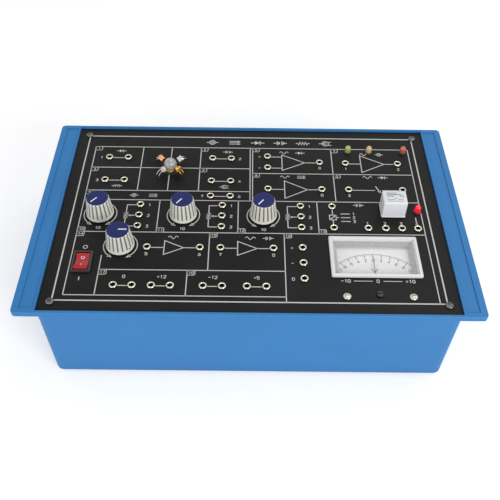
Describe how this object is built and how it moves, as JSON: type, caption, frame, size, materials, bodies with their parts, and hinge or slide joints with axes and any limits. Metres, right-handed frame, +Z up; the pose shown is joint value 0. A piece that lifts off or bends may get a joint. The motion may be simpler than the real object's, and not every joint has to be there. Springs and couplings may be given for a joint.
{
  "type": "optical transducer trainer",
  "caption": "Bench-top light-sensor trainer: blue flanged case, black circuit panel with patch sockets, set knobs, lamp and sensors, relay, rocker switch and centre-zero meter.",
  "frame": {"origin": "under the middle of the case, on the plane that its feet stand on", "axes": "+Z up, -Y towards the user, +X to the user's right along the case's length"},
  "size_m": [0.34, 0.21, 0.0994],
  "materials": {
    "blue_moulding": "fine satin moulding",
    "black_panel": "smooth black laminate with white line print",
    "foot_rubber": "matt rubber",
    "screw_steel": "bright plated steel",
    "socket_metal": "bright nickel plate",
    "pot_steel": "pressed steel can",
    "lamp_glass": "clear blown glass",
    "brass": "turned brass",
    "sensor_can": "tarnished metal can",
    "sensor_ceramic": "glazed ceramic body",
    "white_plastic": "smooth white moulding",
    "black_plastic": "smooth black moulding",
    "copper_winding": "enamelled copper wire",
    "red_epoxy": "tinted clear epoxy",
    "amber_epoxy": "tinted clear epoxy",
    "window_glass": "clear flat window",
    "dial_card": "matt white dial plate with plain marks",
    "magnet_iron": "bare iron",
    "lamination_steel": "varnished laminations",
    "green_board": "green lacquered board",
    "pale_knob": "satin off-white moulding",
    "navy_cap": "satin navy cap with a white pointer",
    "red_rocker": "smooth red moulding",
    "needle_black": "matt black needle"
  },
  "bodies": {
    "case": {"case_tub": "blue_moulding", "front_panel": "black_panel", "foot_1": "foot_rubber", "foot_2": "foot_rubber", "foot_3": "foot_rubber", "foot_4": "foot_rubber", "panel_screw_1": "screw_steel", "panel_screw_2": "screw_steel", "panel_screw_3": "screw_steel", "panel_screw_4": "screw_steel", "sockets_left_sensors": "socket_metal", "sockets_right_sensors": "socket_metal", "sockets_rear_blocks": "socket_metal", "sockets_pots": "socket_metal", "sockets_relay": "socket_metal", "sockets_front_blocks": "socket_metal", "sockets_meter": "socket_metal", "pot_body_a": "pot_steel", "pot_body_b": "pot_steel", "pot_body_c": "pot_steel", "pot_body_offset": "pot_steel", "lamp_bulb": "lamp_glass", "lamp_holder": "brass", "sensor_photodiode": "sensor_can", "sensor_phototransistor": "sensor_can", "sensor_photoconductive_cell": "sensor_ceramic", "sensor_photovoltaic_cell": "sensor_can", "relay_cover": "white_plastic", "relay_base": "black_plastic", "relay_coil": "copper_winding", "relay_led": "red_epoxy", "indicator_leds": "amber_epoxy", "switch_frame": "black_plastic", "meter_case": "black_plastic", "meter_bezel": "white_plastic", "meter_window": "window_glass", "meter_dial": "dial_card", "meter_magnet": "magnet_iron", "meter_screw_1": "screw_steel", "meter_screw_2": "screw_steel", "mains_inlet": "black_plastic", "transformer_core": "lamination_steel", "transformer_winding": "copper_winding", "main_board": "green_board"},
    "knob_a": {"knob_a": "pale_knob", "knob_cap_a": "navy_cap", "pot_shaft_a": "brass"},
    "knob_b": {"knob_b": "pale_knob", "knob_cap_b": "navy_cap", "pot_shaft_b": "brass"},
    "knob_c": {"knob_c": "pale_knob", "knob_cap_c": "navy_cap", "pot_shaft_c": "brass"},
    "knob_offset": {"knob_offset": "pale_knob", "knob_cap_offset": "navy_cap", "pot_shaft_offset": "brass"},
    "rocker": {"power_rocker": "red_rocker"},
    "needle": {"meter_needle": "needle_black"},
    "zero_adjuster": {"meter_zero_adjuster": "black_plastic"},
    "armature": {"relay_armature": "magnet_iron"}
  },
  "joints": [
    {"name": "knob_a_turn", "type": "hinge", "parent": "case", "child": "knob_a", "pos_m": [-0.1203, -0.0046, 0.0807], "axis": [0, 0, 1], "range_deg": [-290, 10]},
    {"name": "knob_b_turn", "type": "hinge", "parent": "case", "child": "knob_b", "pos_m": [-0.0538, -0.0048, 0.0807], "axis": [0, 0, 1], "range_deg": [-293, 7]},
    {"name": "knob_c_turn", "type": "hinge", "parent": "case", "child": "knob_c", "pos_m": [0.0103, -0.0049, 0.0807], "axis": [0, 0, 1], "range_deg": [-293, 7]},
    {"name": "knob_offset_turn", "type": "hinge", "parent": "case", "child": "knob_offset", "pos_m": [-0.1, -0.0386, 0.0807], "axis": [0, 0, 1], "range_deg": [-60, 240]},
    {"name": "rocker_tip", "type": "hinge", "parent": "case", "child": "rocker", "pos_m": [-0.1267, -0.056, 0.0801], "axis": [1, 0, 0], "range_deg": [0, 18]},
    {"name": "needle_swing", "type": "hinge", "parent": "case", "child": "needle", "pos_m": [0.095, -0.084, 0.0763], "axis": [0, 0, 1], "range_deg": [-45, 45], "stiffness_Nm_per_rad": 0.00002},
    {"name": "zero_adjust", "type": "hinge", "parent": "case", "child": "zero_adjuster", "pos_m": [0.095, -0.084, 0.081], "axis": [0, 0, 1], "range_deg": [-30, 30]},
    {"name": "armature_click", "type": "hinge", "parent": "case", "child": "armature", "pos_m": [0.1064, 0.0023, 0.0931], "axis": [0, 1, 0], "range_deg": [0, 4], "stiffness_Nm_per_rad": 0.001, "springref_deg": -20.05}
  ]
}
